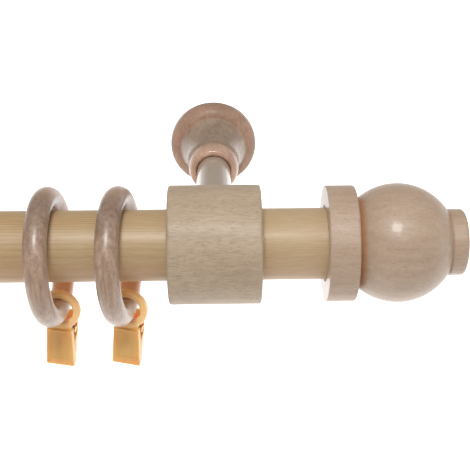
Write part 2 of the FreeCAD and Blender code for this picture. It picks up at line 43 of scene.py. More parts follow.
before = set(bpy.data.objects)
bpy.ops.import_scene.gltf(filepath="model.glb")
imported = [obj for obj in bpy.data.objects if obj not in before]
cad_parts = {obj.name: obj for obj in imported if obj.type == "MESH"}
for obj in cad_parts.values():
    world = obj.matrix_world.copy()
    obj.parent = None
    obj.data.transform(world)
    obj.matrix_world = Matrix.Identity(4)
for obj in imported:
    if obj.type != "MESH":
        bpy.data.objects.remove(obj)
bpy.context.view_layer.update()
MM = 0.001

# The frame's own places
ROD_LOW, ROD_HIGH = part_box("rod")
ROD_RADIUS = (ROD_HIGH.y - ROD_LOW.y) / 2
ROD_AXIS = Vector((0, (ROD_LOW.y + ROD_HIGH.y) / 2, 0))
BRACKETS = {"left": -1, "right": 1}
JAW_TOP = max(corner.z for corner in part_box("clip_spring_1"))
SLEEVE_END = max(corner.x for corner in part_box("sleeve_right"))
RING_COUNT = sum(1 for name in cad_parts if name.startswith("ring_"))


def centre_of(node):
    """The middle of a node's box."""
    low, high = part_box(node)
    return (low + high) / 2


# ---------------------------------------------------------------- shader maths

BEVEL_SAMPLES = 4


class Signal:
    """A shader socket that can be used in plain arithmetic; each expression adds its Math node."""

    def __init__(self, shader, socket):
        self.shader = shader
        self.socket = socket

    def _math(self, operation, *values):
        return self.shader.node("ShaderNodeMath", {"operation": operation}, dict(enumerate(values)))

    def __add__(self, other):
        return self._math("ADD", self, other)

    def __radd__(self, other):
        return self._math("ADD", other, self)

    def __sub__(self, other):
        return self._math("SUBTRACT", self, other)

    def __rsub__(self, other):
        return self._math("SUBTRACT", other, self)

    def __mul__(self, other):
        return self._math("MULTIPLY", self, other)

    def __rmul__(self, other):
        return self._math("MULTIPLY", other, self)

    def __truediv__(self, other):
        return self._math("DIVIDE", self, other)

    def __rtruediv__(self, other):
        return self._math("DIVIDE", other, self)

    def clamped(self):
        """Held between 0 and 1."""
        return self.shader.node("ShaderNodeClamp", {}, {"Value": self}, "Result")

    def smooth(self, low, high):
        """0 below low and 1 above high, with a soft step between."""
        settings = {"interpolation_type": "SMOOTHSTEP"}
        values = {"Value": self, "From Min": low, "From Max": high}
        return self.shader.node("ShaderNodeMapRange", settings, values, "Result")

    def sine(self):
        return self._math("SINE", self)

    def absolute(self):
        return self._math("ABSOLUTE", self)


class Shader:
    """One material, or the world, and the nodes that make it."""

    def __init__(self, owner, output="ShaderNodeOutputMaterial"):
        owner.use_nodes = True
        self.owner = owner
        self.tree = owner.node_tree
        self.tree.nodes.clear()
        self.output = self.tree.nodes.new(output)

    def node(self, kind, settings, values, output=0):
        """Adds a node: its settings first, then the values or links of its sockets."""
        made = self.tree.nodes.new(kind)
        for name, value in settings.items():
            setattr(made, name, value)
        for key, value in values.items():
            self.feed(made.inputs[key], value)
        return Signal(self, made.outputs[output])

    def feed(self, socket, value):
        if isinstance(value, Signal):
            self.tree.links.new(value.socket, socket)
        else:
            socket.default_value = value

    def place(self, scale=(1, 1, 1), turn=(0, 0, 0), shift=(0, 0, 0)):
        """The frame's own coordinates, stretched and turned for a pattern."""
        point = self.node("ShaderNodeTexCoord", {}, {}, "Object")
        values = {"Vector": point, "Location": shift, "Rotation": turn, "Scale": scale}
        return self.node("ShaderNodeMapping", {"vector_type": "POINT"}, values, "Vector")

    def split(self, vector):
        """The X, Y and Z parts of a vector."""
        parts = self.node("ShaderNodeSeparateXYZ", {}, {"Vector": vector}, "X").socket.node
        return [Signal(self, parts.outputs[axis]) for axis in "XYZ"]

    def vector_math(self, operation, values, output="Vector"):
        return self.node("ShaderNodeVectorMath", {"operation": operation}, values, output)

    def noise(self, vector, scale, detail=3.0, roughness=0.5, distortion=0.0, output="Fac"):
        values = {"Vector": vector, "Scale": scale, "Detail": detail, "Roughness": roughness,
                  "Distortion": distortion}
        return self.node("ShaderNodeTexNoise", {}, values, output)

    def voronoi(self, vector, scale):
        """Distance from the middle of the nearest cell."""
        values = {"Vector": vector, "Scale": scale}
        return self.node("ShaderNodeTexVoronoi", {"feature": "F1"}, values, "Distance")

    def mix(self, share, first, second, blend="MIX"):
        settings = {"data_type": "RGBA", "blend_type": blend, "clamp_factor": True}
        return self.node("ShaderNodeMix", settings, {0: share, 6: first, 7: second}, 2)

    def edges(self, radius):
        """Near 1 on outer edges and near 0 on flats, from the bend of the surface."""
        rounded = self.node("ShaderNodeBevel", {"samples": BEVEL_SAMPLES}, {"Radius": radius}, "Normal")
        true = self.node("ShaderNodeNewGeometry", {}, {}, "Normal")
        facing = self.vector_math("DOT_PRODUCT", {0: rounded, 1: true}, "Value")
        return (1 - facing).smooth(0.01, 0.25)

    def bump(self, height, distance, strength):
        values = {"Height": height, "Distance": distance, "Strength": strength}
        return self.node("ShaderNodeBump", {}, values, "Normal")

    def principled(self, values):
        surface = self.node("ShaderNodeBsdfPrincipled", {}, values, "BSDF")
        self.tree.links.new(surface.socket, self.output.inputs["Surface"])


def rgb(colour):
    """A colour with its alpha."""
    return (*colour, 1.0)


def grey(level):
    return rgb((level, level, level))


# ---------------------------------------------------------------- finishes

def scaled(colour, *shares):
    """A colour with each part taken up or down by its own share."""
    shares = shares if len(shares) == 3 else shares * 3
    return tuple(min(1.0, part * share) for part, share in zip(colour, shares))


# The rod's pine: its growth rings lie at a slight slope to the pole, and its lower side is warmer
GRAIN_SLOPE = 0.030
GRAIN_SLOPE_FROM = 0.30
GRAIN_WANDER = 3.0 * MM
FLAME = 1.1 * MM
WIDE_FLAME = 2.2 * MM
WIDE_BAND_PITCH = 2.3 * MM
UNDERSIDE_PINE = (0.60, 0.35, 0.19)
PINE_GRAIN_DEPTH = 0.07 * MM


def pine(name, early, late, pith, ring_pitch, lacquer):
    """Pine of a turned pole: growth rings about a pith outside the pole, drawn out along X."""
    s = Shader(bpy.data.materials.new(name))
    along, _, height = s.split(s.place())

    # Distance from the pith, pushed about so that the growth rings wander
    wander = s.noise(s.place(scale=(0.06, 0.4, 0.4)), 60, detail=2.0, output="Color")
    centred = s.vector_math("SUBTRACT", {0: wander, 1: (0.5, 0.5, 0.5)})
    pushed = s.vector_math("SCALE", {0: centred, "Scale": GRAIN_WANDER})
    flame = s.noise(s.place(scale=(0.55, 1, 1)), 62, detail=2.0, roughness=0.45, distortion=0.3) - 0.5
    to_pith = (0, -pith.y, -pith.z + GRAIN_SLOPE_FROM * GRAIN_SLOPE)
    flat = s.place(scale=(0.004, 1, 1), turn=(0, GRAIN_SLOPE, 0), shift=to_pith)
    bent = s.vector_math("ADD", {0: flat, 1: pushed})
    distance = s.vector_math("LENGTH", {0: bent}, "Value")

    # Fine late-wood lines, and wide flat-sawn bands low on the rod
    year = (distance + flame * FLAME) / ring_pitch
    saw = s.node("ShaderNodeMath", {"operation": "FRACT"}, {0: year})
    band = saw.smooth(0.30, 0.86) * (1 - saw.smooth(0.90, 1.0))
    under = 1 - height.smooth(-5 * MM, 3 * MM)
    wave = ((distance + flame * WIDE_FLAME) / WIDE_BAND_PITCH * 2 * math.pi).sine()
    wide = wave.smooth(0.15, 0.95) * under

    # Fibres, and slow changes of tone along the pole
    thickness = s.noise(s.place(scale=(0.05, 1, 1)), 170, detail=2.0)
    fibre = s.noise(s.place(scale=(0.05, 1, 1)), 2600, roughness=0.65)
    fine = s.noise(s.place(scale=(0.03, 1, 1)), 1100, detail=2.0, roughness=0.6)
    blotch = s.noise(s.place(scale=(0.30, 1, 1)), 42)
    slow = (along * 22.0 + 0.75).sine()
    plain = s.noise(s.place(scale=(0.35, 1, 1)), 30, detail=1.0).smooth(0.40, 0.60) * 0.6 + 0.4
    clear = 1 - (along.absolute() - SLEEVE_END).smooth(-4 * MM, 6 * MM) * 0.65

    figure = (band * (0.30 + thickness * 1.2) * (1 - under * 0.6) * plain + wide * 0.85) * clear
    late_share = figure + (fine - 0.5) * 0.75 + (blotch - 0.5) * 0.60 - slow * 0.20
    colour = s.mix(late_share.clamped(), rgb(early), rgb(late))
    colour = s.mix(under * 0.45, colour, rgb(UNDERSIDE_PINE))
    # Painted highlight: the rod beyond the right sleeve is mixed towards a paler, whiter pine
    painted_highlight_share = (along - SLEEVE_END).smooth(-10 * MM, 12 * MM) * 0.5
    colour = s.mix(painted_highlight_share, colour, rgb(scaled(early, 1.12, 1.12, 1.25)))
    colour = s.mix(((fibre - 0.5) * 1.3 + 0.15).clamped(), colour, rgb(scaled(late, 0.86)))
    colour = s.mix(s.edges(1.2 * MM) * 0.35, colour, rgb(scaled(early, 1.08)))
    rough = 0.50 - band * 0.05 + (blotch - 0.5) * 0.12
    relief = fibre * 0.5 + band * 0.25 + fine * 0.5
    s.principled({"Base Color": colour, "Roughness": rough, "Coat Weight": lacquer, "Coat Roughness": 0.13,
                  "Normal": s.bump(relief, PINE_GRAIN_DEPTH, 0.55)})
    return s.owner


ALONG = {"X": (1, 0, 0), "Y": (0, 1, 0), "Z": (0, 0, 1)}

# How far each part of the beech's figure is drawn out along the grain: the smaller, the longer
STREAK_DRAW = 0.05
FIBRE_DRAW = 0.16
FLECK_DRAW = 0.24
CLOUD_DRAW = 0.5
WOOD_GRAIN_DEPTH = 0.08 * MM


def drawn_out(grain, share):
    """Pattern scale that draws a pattern out along the grain."""
    return tuple(share if part else 1.0 for part in ALONG[grain])


def moved(seed):
    """A pattern's shift, so that no two pieces have the same figure."""
    return (seed, seed * 0.7, seed * 1.3)


def flecked(cells, bare):
    """Short dark flecks in the middle of the cells, left out of the bare places."""
    return (1 - cells.smooth(0.10, 0.42)) * bare


def beech(name, tones, grain, look, turn=(0, 0, 0), seed=0.0, painted_light=None):
    """Steamed beech, or another close wood, with short dark flecks and streaks along the grain.

    tones are (light, dark, fleck); look names how strong each part of the figure is, and end_coat
    adds lacquer to the faces square to the rod.
    painted_light takes the shader and gives (share, colour, blend), for light or shade painted in one place.
    """
    light, dark, fleck = tones
    s = Shader(bpy.data.materials.new(name))
    shift = moved(seed)
    streak_place = s.place(scale=drawn_out(grain, STREAK_DRAW), turn=turn, shift=shift)
    fibre_place = s.place(scale=drawn_out(grain, FIBRE_DRAW), turn=turn, shift=shift)
    fleck_place = s.place(scale=drawn_out(grain, FLECK_DRAW), turn=turn, shift=shift)
    cloud_place = s.place(scale=drawn_out(grain, CLOUD_DRAW), shift=shift)
    streaks = s.noise(streak_place, look["streak_scale"], roughness=0.6)
    fibre = s.noise(fibre_place, look["fibre_scale"], roughness=0.7)
    cloud = s.noise(cloud_place, 60, roughness=0.55)
    cells = s.voronoi(fleck_place, look["fleck_scale"])
    bare = s.noise(fleck_place, look["fleck_scale"] * 0.35, detail=1.0).smooth(0.36, 0.60)
    flecks = flecked(cells, bare)
    tone = (streaks - 0.5) * look["streak"] + (cloud - 0.5) * look["cloud"]
    tone = tone + (fibre - 0.5) * look["fibre"] + 0.42
    colour = s.mix(tone.clamped(), rgb(light), rgb(dark))
    colour = s.mix((flecks * look["fleck"]).clamped(), colour, rgb(fleck))
    # Painted shade: the colour is darkened towards the top of the piece
    if "top_shade" in look:
        height = s.split(s.place())[2]
        colour = s.mix(height.smooth(9 * MM, 22 * MM), colour, grey(look["top_shade"]), "MULTIPLY")
    # Light or shade painted into the colour in one place, when such a hook is given
    if painted_light is not None:
        share, stain_and_painted_light, blend = painted_light(s)
        colour = s.mix(share, colour, rgb(stain_and_painted_light), blend)
    colour = s.mix(s.edges(0.9 * MM) * look["edge"], colour, rgb(scaled(light, 1.15)))
    rough = look["rough"] + (cloud - 0.5) * 0.14 + flecks * 0.08
    relief = fibre * 0.7 + (1 - flecks) * 0.5 + streaks * 0.3
    facing = s.split(s.node("ShaderNodeNewGeometry", {}, {}, "Normal"))[0]
    lacquer = look["coat"] + facing.absolute().smooth(0.75, 0.98) * look["end_coat"]
    s.principled({"Base Color": colour, "Roughness": rough,
                  "Coat Weight": lacquer.clamped(), "Coat Roughness": look["coat_rough"],
                  "Normal": s.bump(relief, WOOD_GRAIN_DEPTH, look["relief"])})
    return s.owner


MATT_TURNED = {"streak": 0.9, "streak_scale": 260, "fibre": 2.3, "fibre_scale": 1700, "cloud": 1.0,
               "fleck": 0.62, "fleck_scale": 1700, "edge": 0.25, "rough": 0.58, "coat": 0.12,
               "coat_rough": 0.30, "end_coat": 0.8, "relief": 0.6}
LACQUERED_BALL = {"streak": 1.0, "streak_scale": 420, "fibre": 1.2, "fibre_scale": 1900, "cloud": 0.7,
                  "fleck": 0.40, "fleck_scale": 1900, "edge": 0.25, "rough": 0.45, "coat": 0.20,
                  "coat_rough": 0.13, "end_coat": 0.0, "relief": 0.35}
LACQUERED_COLLAR = dict(LACQUERED_BALL, rough=0.52, coat=0.08, coat_rough=0.25, end_coat=0.6)
ARM_FINISH = {"streak": 0.6, "streak_scale": 300, "fibre": 0.6, "fibre_scale": 1400, "cloud": 0.6,
              "fleck": 0.25, "fleck_scale": 1300, "edge": 0.2, "rough": 0.35, "coat": 1.0,
              "coat_rough": 0.08, "end_coat": 0.0, "relief": 0.2}
RING_FINISH = {"streak": 1.9, "streak_scale": 560, "fibre": 1.5, "fibre_scale": 2000, "cloud": 0.5,
               "fleck": 0.30, "fleck_scale": 1700, "edge": 0.2, "rough": 0.42, "coat": 0.62,
               "coat_rough": 0.30, "end_coat": 0.2, "relief": 0.5, "top_shade": 0.70}


# Distances from the wall between which one finish of the rose changes to the next
ROSE_RIM_EDGE = (1.5 * MM, 3.2 * MM)
ROSE_BAND_EDGE = (8.0 * MM, 9.6 * MM)
ROSE_LIP_EDGE = (24.0 * MM, 27.5 * MM)
ROSE_GRAIN_TURN = (0.5, 0.9, 0)
ROSE_SHADE = (0.58, 0.53, 0.50)


def rose_wood(name, tones, seed):
    """The wall rose: a matt mottled band, a glossy grey-brown cove and a warmer lip."""
    band, cove, lip, fleck = tones
    s = Shader(bpy.data.materials.new(name))
    shift = moved(seed)
    turned = {"turn": ROSE_GRAIN_TURN, "shift": shift}
    out = s.split(s.place())[1] * -1.0
    on_band = 1 - out.smooth(*ROSE_BAND_EDGE)
    on_lip = out.smooth(*ROSE_LIP_EDGE)
    on_rim = 1 - out.smooth(*ROSE_RIM_EDGE)
    cloud = s.noise(s.place(scale=(1, 0.6, 0.6), shift=shift), 120, roughness=0.6)
    mottle = s.noise(s.place(scale=(1, 1, 0.5), **turned), 420, roughness=0.65)
    fibre = s.noise(s.place(scale=(0.5, 0.5, 0.16), **turned), 1500, roughness=0.7)
    cells = s.voronoi(s.place(scale=(1, 1, 0.3), **turned), 1000)
    bare = s.noise(s.place(shift=shift), 380, detail=1.0).smooth(0.40, 0.62)
    flecks = flecked(cells, bare)
    colour = s.mix(on_band, rgb(cove), rgb(band))
    colour = s.mix(on_lip, colour, rgb(lip))
    rosy = s.noise(s.place(scale=(1, 1, 0.6), shift=shift), 260, detail=2.0, roughness=0.6)
    pink = rosy.smooth(0.46, 0.66)
    colour = s.mix(pink * on_band * 0.55, colour, rgb(scaled(band, 1.12, 0.98, 1.10)))
    shade = ((cloud - 0.5) * 1.6 + (mottle - 0.5) * 1.3 + (fibre - 0.5) * 0.9 + 0.40).clamped()
    colour = s.mix(shade, colour, rgb(ROSE_SHADE), "MULTIPLY")
    colour = s.mix((flecks * 0.45).clamped(), colour, rgb(fleck))
    rough = 0.46 + on_band * 0.12 + (cloud - 0.5) * 0.14
    lacquer = 1.0 - on_band * 0.92 + on_rim * 0.55 - on_lip * 0.45 + (mottle - 0.5) * 0.20
    relief = fibre * 0.7 + mottle * 0.5 + (1 - flecks) * 0.4
    s.principled({"Base Color": colour, "Roughness": rough,
                  "Coat Weight": lacquer.clamped(), "Coat Roughness": 0.13,
                  "Normal": s.bump(relief, WOOD_GRAIN_DEPTH, 0.4)})
    return s.owner


# Light sinks a little way into the clips' plastic, red furthest
PLASTIC_GLOW = (1.0, 0.55, 0.22)
PLASTIC_GLOW_DEPTH = 3.0 * MM
EYE_FADE = 2.5 * MM


def moulded_plastic(name, tones, seed):
    """Amber plastic, a little clear: paler in the thin eye than in the jaws, with faint flow marks."""
    body, thin, pale = tones
    s = Shader(bpy.data.materials.new(name))
    flow = s.noise(s.place(scale=(1, 1, 0.35), shift=(seed, 0, seed)), 260, roughness=0.55)
    grain = s.noise(s.place(shift=(seed, seed, 0)), 2400, detail=2.0)
    colour = s.mix(((flow - 0.5) * 1.3 + 0.40).clamped(), rgb(body), rgb(thin))
    in_eye = s.split(s.place())[2].smooth(JAW_TOP, JAW_TOP + EYE_FADE)
    colour = s.mix(in_eye, colour, rgb(pale))
    # Painted highlight: the edges are paler, standing in for their bright rims
    colour = s.mix(s.edges(0.8 * MM) * 0.6, colour, rgb(scaled(thin, 1.15)))
    rough = 0.36 + (flow - 0.5) * 0.12 + (grain - 0.5) * 0.06
    s.principled({"Base Color": colour, "Roughness": rough, "Subsurface Weight": 0.6,
                  "Subsurface Radius": PLASTIC_GLOW, "Subsurface Scale": PLASTIC_GLOW_DEPTH,
                  "Specular IOR Level": 0.5, "Coat Weight": 0.25, "Coat Roughness": 0.15,
                  "Normal": s.bump(flow + grain * 0.3, 0.04 * MM, 0.5)})
    return s.owner


def bright_steel(name, tint, rough, brush):
    """Bright steel with fine brushed lines and paler rubbed edges."""
    s = Shader(bpy.data.materials.new(name))
    lines = s.noise(s.place(scale=brush), 1800, detail=2.0, roughness=0.6)
    stain_and_painted_light = s.noise(s.place(), 240)
    colour = s.mix((stain_and_painted_light - 0.35).clamped(), rgb(tint), rgb(scaled(tint, 0.72)))
    colour = s.mix(s.edges(0.5 * MM) * 0.4, colour, rgb(scaled(tint, 1.2)))
    s.principled({"Base Color": colour, "Metallic": 1.0, "Roughness": rough + (lines - 0.5) * 0.2,
                  "Normal": s.bump(lines, 0.02 * MM, 0.5)})
    return s.owner


# ---------------------------------------------------------------- mesh work

def finish_mesh(name, mesh_data, material, body, nodes):
    """Links a finished bmesh as a piece that stands for CAD nodes and rides on a body."""
    bmesh.ops.recalc_face_normals(mesh_data, faces=mesh_data.faces)
    mesh = bpy.data.meshes.new(name)
    mesh_data.to_mesh(mesh)
    mesh_data.free()
    mesh.polygons.foreach_set("use_smooth", [True] * len(mesh.polygons))
    piece = bpy.data.objects.new(name, mesh)
    bpy.context.scene.collection.objects.link(piece)
    piece.data.materials.append(material)
    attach(piece, body)
    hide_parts(*nodes)
    return piece


CORNER_STEPS = 5
ON_AXIS = 1e-7


def rounded_outline(corners):
    """An open outline in (along, radius); a corner is (along, radius, rounding)."""
    points = []
    last = len(corners) - 1
    for index, (along, radius, rounding) in enumerate(corners):
        here = Vector((along, radius))
        if index in (0, last):
            points.append(here)
            continue
        before = Vector(corners[index - 1][:2]) - here
        after = Vector(corners[index + 1][:2]) - here
        reach = min(rounding, before.length * 0.48, after.length * 0.48)
        start = here + before.normalized() * reach
        end = here + after.normalized() * reach
        for step in range(CORNER_STEPS + 1):
            share = step / CORNER_STEPS
            first = start.lerp(here, share)
            second = here.lerp(end, share)
            points.append(first.lerp(second, share))
    return points


def on_rod(along, radius, angle):
    """A point turned about the rod's axis."""
    return ROD_AXIS + Vector((along, radius * math.cos(angle), radius * math.sin(angle)))


def lathe(points, segments):
    """Turns an outline that starts and ends on the rod's axis into quads, closed by fans."""
    work = bmesh.new()
    rows = []
    for point in points:
        if point.y < ON_AXIS:
            rows.append([work.verts.new(on_rod(point.x, 0.0, 0.0))])
            continue
        angles = [2 * math.pi * index / segments for index in range(segments)]
        rows.append([work.verts.new(on_rod(point.x, point.y, angle)) for angle in angles])
    for first, second in zip(rows, rows[1:]):
        for index in range(segments):
            following = (index + 1) % segments
            if len(first) == 1:
                work.faces.new((first[0], second[index], second[following]))
            elif len(second) == 1:
                work.faces.new((first[index], second[0], first[following]))
            else:
                work.faces.new((first[index], second[index], second[following], first[following]))
    return work


# ---------------------------------------------------------------- settings

class RodSettings(bpy.types.PropertyGroup):
    """Sizes and colours of the rod and its turned fittings."""
    rod_segments: IntProperty(name="Rod segments", description="Faces round the rod", default=160, min=24)
    ring_pitch: FloatProperty(name="Year ring", description="Width of one year's growth in the rod",
                              default=1.05 * MM, min=0.2 * MM, unit="LENGTH")
    pith_depth: FloatProperty(name="Pith depth", description="From the rod's axis to the pith of its tree",
                              default=45 * MM, min=16 * MM, unit="LENGTH")
    flat_grain_height: FloatProperty(name="Flat grain",
                                     description="Degrees above level of the flat-sawn face",
                                     default=-24.0)
    pine_pale: FloatVectorProperty(name="Pine, early wood", description="Pale wood of the rod",
                                   subtype="COLOR", default=(0.50, 0.365, 0.205))
    pine_dark: FloatVectorProperty(name="Pine, late wood", description="Darker lines of the rod",
                                   subtype="COLOR", default=(0.41, 0.235, 0.095))
    sleeve_light: FloatVectorProperty(name="Sleeve, light", description="Light tone of the sleeves",
                                      subtype="COLOR", default=(0.505, 0.385, 0.265))
    sleeve_dark: FloatVectorProperty(name="Sleeve, dark", description="Dark tone of the sleeves",
                                     subtype="COLOR", default=(0.36, 0.262, 0.175))
    finial_light: FloatVectorProperty(name="Finial, light", description="Light tone of the finials",
                                      subtype="COLOR", default=(0.52, 0.385, 0.28))
    finial_dark: FloatVectorProperty(name="Finial, dark", description="Dark tone of the finials",
                                     subtype="COLOR", default=(0.37, 0.25, 0.17))
    rose_band: FloatVectorProperty(name="Rose, band", description="Matt outer band of the wall roses",
                                   subtype="COLOR", default=(0.42, 0.265, 0.18))
    rose_cove: FloatVectorProperty(name="Rose, cove", description="Hollow of the wall roses",
                                   subtype="COLOR", default=(0.37, 0.265, 0.185))
    rose_lip: FloatVectorProperty(name="Rose, lip", description="Lip of the wall roses",
                                  subtype="COLOR", default=(0.60, 0.385, 0.275))
    arm_light: FloatVectorProperty(name="Arm, light", description="Light tone of the arms",
                                   subtype="COLOR", default=(0.44, 0.345, 0.26))
    arm_dark: FloatVectorProperty(name="Arm, dark", description="Dark tone of the arms",
                                  subtype="COLOR", default=(0.35, 0.265, 0.195))


class RingSettings(bpy.types.PropertyGroup):
    """Colours of the rings, clips and springs."""
    ring_light: FloatVectorProperty(name="Ring, light", description="Light tone of the rings",
                                    subtype="COLOR", default=(0.50, 0.34, 0.24))
    ring_dark: FloatVectorProperty(name="Ring, dark", description="Dark tone of the rings",
                                   subtype="COLOR", default=(0.25, 0.15, 0.098))
    clip_body: FloatVectorProperty(name="Clip, thick", description="Plastic where it is thick",
                                   subtype="COLOR", default=(0.85, 0.385, 0.085))
    clip_thin: FloatVectorProperty(name="Clip, thin", description="Plastic where it is thin",
                                   subtype="COLOR", default=(0.98, 0.60, 0.20))
    clip_pale: FloatVectorProperty(name="Clip, eye", description="Plastic of the thin eye",
                                   subtype="COLOR", default=(0.96, 0.60, 0.27))
    steel: FloatVectorProperty(name="Steel", description="Springs, bolts and screws",
                               subtype="COLOR", default=(0.62, 0.61, 0.59))


class StudioSettings(bpy.types.PropertyGroup):
    """Camera and light."""
    lens: FloatProperty(name="Lens", description="Camera lens in millimetres",
                        default=80.0, min=10, subtype="DISTANCE_CAMERA")
    distance: FloatProperty(name="Distance", description="Camera to rod", default=0.40445, unit="LENGTH")
    pitch: FloatProperty(name="Pitch", description="Camera's tilt down",
                         default=math.radians(28.71), subtype="ANGLE")
    yaw: FloatProperty(name="Yaw", description="Camera's turn to the right",
                       default=math.radians(1.33), subtype="ANGLE")
    lift: FloatProperty(name="Lift", description="Camera raised square to the rod",
                        default=0.0042, unit="LENGTH")
    side: FloatProperty(name="Side", description="Camera left of the right bracket",
                        default=0.0003, unit="LENGTH")
    key_power: FloatProperty(name="Key light", description="Softbox above and in front",
                             default=7.3, subtype="POWER")
    fill_power: FloatProperty(name="Fill light", description="Softbox on the right",
                              default=0.5, subtype="POWER")
    floor_drop: FloatProperty(name="Floor drop", description="Floor below the rod",
                              default=0.42, unit="LENGTH")


# ---------------------------------------------------------------- pieces

# Softened ends of the rod, and the rows of faces along it
ROD_CHAMFER = 0.8 * MM
ROD_TIP_ROUND = 0.4 * MM
ROD_SHOULDER_ROUND = 0.5 * MM
ROD_LENGTH_STEPS = 60
ROD_LACQUER = 0.05

# Dark flecks of each turned piece
SLEEVE_FLECK = (0.25, 0.165, 0.105)
ARM_FLECK = (0.20, 0.14, 0.10)
ROSE_FLECK = (0.15, 0.085, 0.055)
FINIAL_FLECK = (0.24, 0.15, 0.10)
RING_FLECK = (0.12, 0.07, 0.045)

# Tints in one place only, both painted light: painted shade in each finial's groove, painted bounce light on
# each ring's back
GROOVE_PAINTED_SHADE = (0.92, 0.62, 0.42)
RING_BACK_BOUNCE = (0.80, 0.42, 0.22)
FINIAL_GRAIN_TURN = (0, 0.05, 0)


def dress(node, material):
    """Gives a carried-over CAD node its finish."""
    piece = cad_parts[node]
    piece.data.materials.clear()
    piece.data.materials.append(material)

class CURTAINROD_OT_rod(bpy.types.Operator):
    """Turn the long pine rod with softened ends"""
    bl_idname = "curtainrod.rod"
    bl_label = "Pine rod"

    def execute(self, context):
        settings = context.scene.curtain_rod
        half = (ROD_HIGH.x - ROD_LOW.x) / 2
        corners = [(-half, 0, 0),
                   (-half, ROD_RADIUS - ROD_CHAMFER, ROD_TIP_ROUND),
                   (-half + ROD_CHAMFER, ROD_RADIUS, ROD_SHOULDER_ROUND),
                   (half - ROD_CHAMFER, ROD_RADIUS, ROD_SHOULDER_ROUND),
                   (half, ROD_RADIUS - ROD_CHAMFER, ROD_TIP_ROUND),
                   (half, 0, 0)]
        outline = rounded_outline(corners)
        middle = len(outline) // 2
        start, end = outline[middle - 1], outline[middle]
        outline[middle:middle] = [start.lerp(end, step / ROD_LENGTH_STEPS)
                                  for step in range(1, ROD_LENGTH_STEPS)]
        work = lathe(outline, settings.rod_segments)
        facing = math.radians(settings.flat_grain_height)
        pith = ROD_AXIS + Vector((0, math.cos(facing), -math.sin(facing))) * settings.pith_depth
        material = pine("rod pine", settings.pine_pale, settings.pine_dark, pith, settings.ring_pitch,
                        ROD_LACQUER)
        finish_mesh("rod_turned", work, material, "rod_and_brackets", ["rod"])
        return {"FINISHED"}


class CURTAINROD_OT_brackets(bpy.types.Operator):
    """Dress both brackets: sleeve, arm, wall rose and their fixings"""
    bl_idname = "curtainrod.brackets"
    bl_label = "Brackets"

    def execute(self, context):
        settings = context.scene.curtain_rod
        steel = bright_steel("fixing steel", context.scene.curtain_rings.steel, 0.32, (1, 0.2, 1))
        for side, sign in BRACKETS.items():
            seed = 0.11 * sign
            sleeve_tones = (settings.sleeve_light, settings.sleeve_dark, SLEEVE_FLECK)
            sleeve = beech("sleeve beech " + side, sleeve_tones, "X", MATT_TURNED, seed=seed)
            arm_tones = (settings.arm_light, settings.arm_dark, ARM_FLECK)
            arm = beech("arm beech " + side, arm_tones, "Y", ARM_FINISH, seed=seed + 0.3)
            rose_tones = (settings.rose_band, settings.rose_cove, settings.rose_lip, ROSE_FLECK)
            rose = rose_wood("rose wood " + side, rose_tones, seed + 0.6)
            finishes = {"sleeve": sleeve, "arm": arm, "rose": rose, "lock_screw": steel, "hanger_bolt": steel}
            for part, material in finishes.items():
                dress(part + "_" + side, material)
        return {"FINISHED"}


class CURTAINROD_OT_finials(bpy.types.Operator):
    """Dress both finials: collar and ball"""
    bl_idname = "curtainrod.finials"
    bl_label = "Finials"

    def execute(self, context):
        settings = context.scene.curtain_rod
        tones = (settings.finial_light, settings.finial_dark, FINIAL_FLECK)
        for side, sign in BRACKETS.items():
            collar = beech("collar beech " + side, tones, "X", LACQUERED_COLLAR, FINIAL_GRAIN_TURN,
                           0.2 * sign)
            ball = beech("ball beech " + side, tones, "X", LACQUERED_BALL, FINIAL_GRAIN_TURN,
                         0.5 * sign, self.groove_painted_shade(side, sign))
            dress("finial_collar_" + side, collar)
            dress("finial_ball_" + side, ball)
        return {"FINISHED"}

    @staticmethod
    def groove_painted_shade(side, sign):
        """Painted shade: next to its collar the ball is darkened and warmed to orange, in the groove between
        them.
        """
        low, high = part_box("finial_collar_" + side)
        face = max(abs(low.x), abs(high.x))

        def stain_and_painted_light(s):
            beyond = s.split(s.place())[0] * sign - face
            return 1 - beyond.smooth(1.2 * MM, 3.6 * MM), GROOVE_PAINTED_SHADE, "MULTIPLY"

        return stain_and_painted_light


class CURTAINROD_OT_rings(bpy.types.Operator):
    """Dress the rings, clips and clip springs"""
    bl_idname = "curtainrod.rings"
    bl_label = "Rings and clips"

    def execute(self, context):
        rings = context.scene.curtain_rings
        spring = bright_steel("spring steel", scaled(rings.steel, 0.38), 0.34, (0.2, 1, 1))
        tones = (rings.ring_light, rings.ring_dark, RING_FLECK)
        plastic_tones = (rings.clip_body, rings.clip_thin, rings.clip_pale)
        for number in range(1, RING_COUNT + 1):
            seed = 0.17 * number
            turn = (0, 0, 0.1 * number)
            wood = beech("ring beech %d" % number, tones, "Z", RING_FINISH, turn, seed, self.painted_back_bounce)
            plastic = moulded_plastic("clip plastic %d" % number, plastic_tones, seed)
            dress("ring_%d" % number, wood)
            dress("clip_front_%d" % number, plastic)
            dress("clip_back_%d" % number, plastic)
            dress("clip_spring_%d" % number, spring)
        return {"FINISHED"}

    @staticmethod
    def painted_back_bounce(s):
        """Painted bounce light: the back of each ring is warmer and paler, most of all low down, as if lit by
        the clips' orange plastic.
        """
        _, out, height = s.split(s.place())
        low = 1 - height.smooth(-22 * MM, -8 * MM) * 0.75
        back = (out - ROD_AXIS.y).smooth(-6 * MM, 6 * MM) * 0.85
        return back * low, RING_BACK_BOUNCE, "MIX"


# ---------------------------------------------------------------- stage

# Softboxes: size in metres, degrees above level and degrees right of straight ahead
KEY_SOFTBOX = {"size": 0.34, "elevation": 57, "azimuth": -6}
FILL_SOFTBOX = {"size": 0.50, "elevation": 52, "azimuth": 46}
SOFTBOX_DISTANCE = 1.0

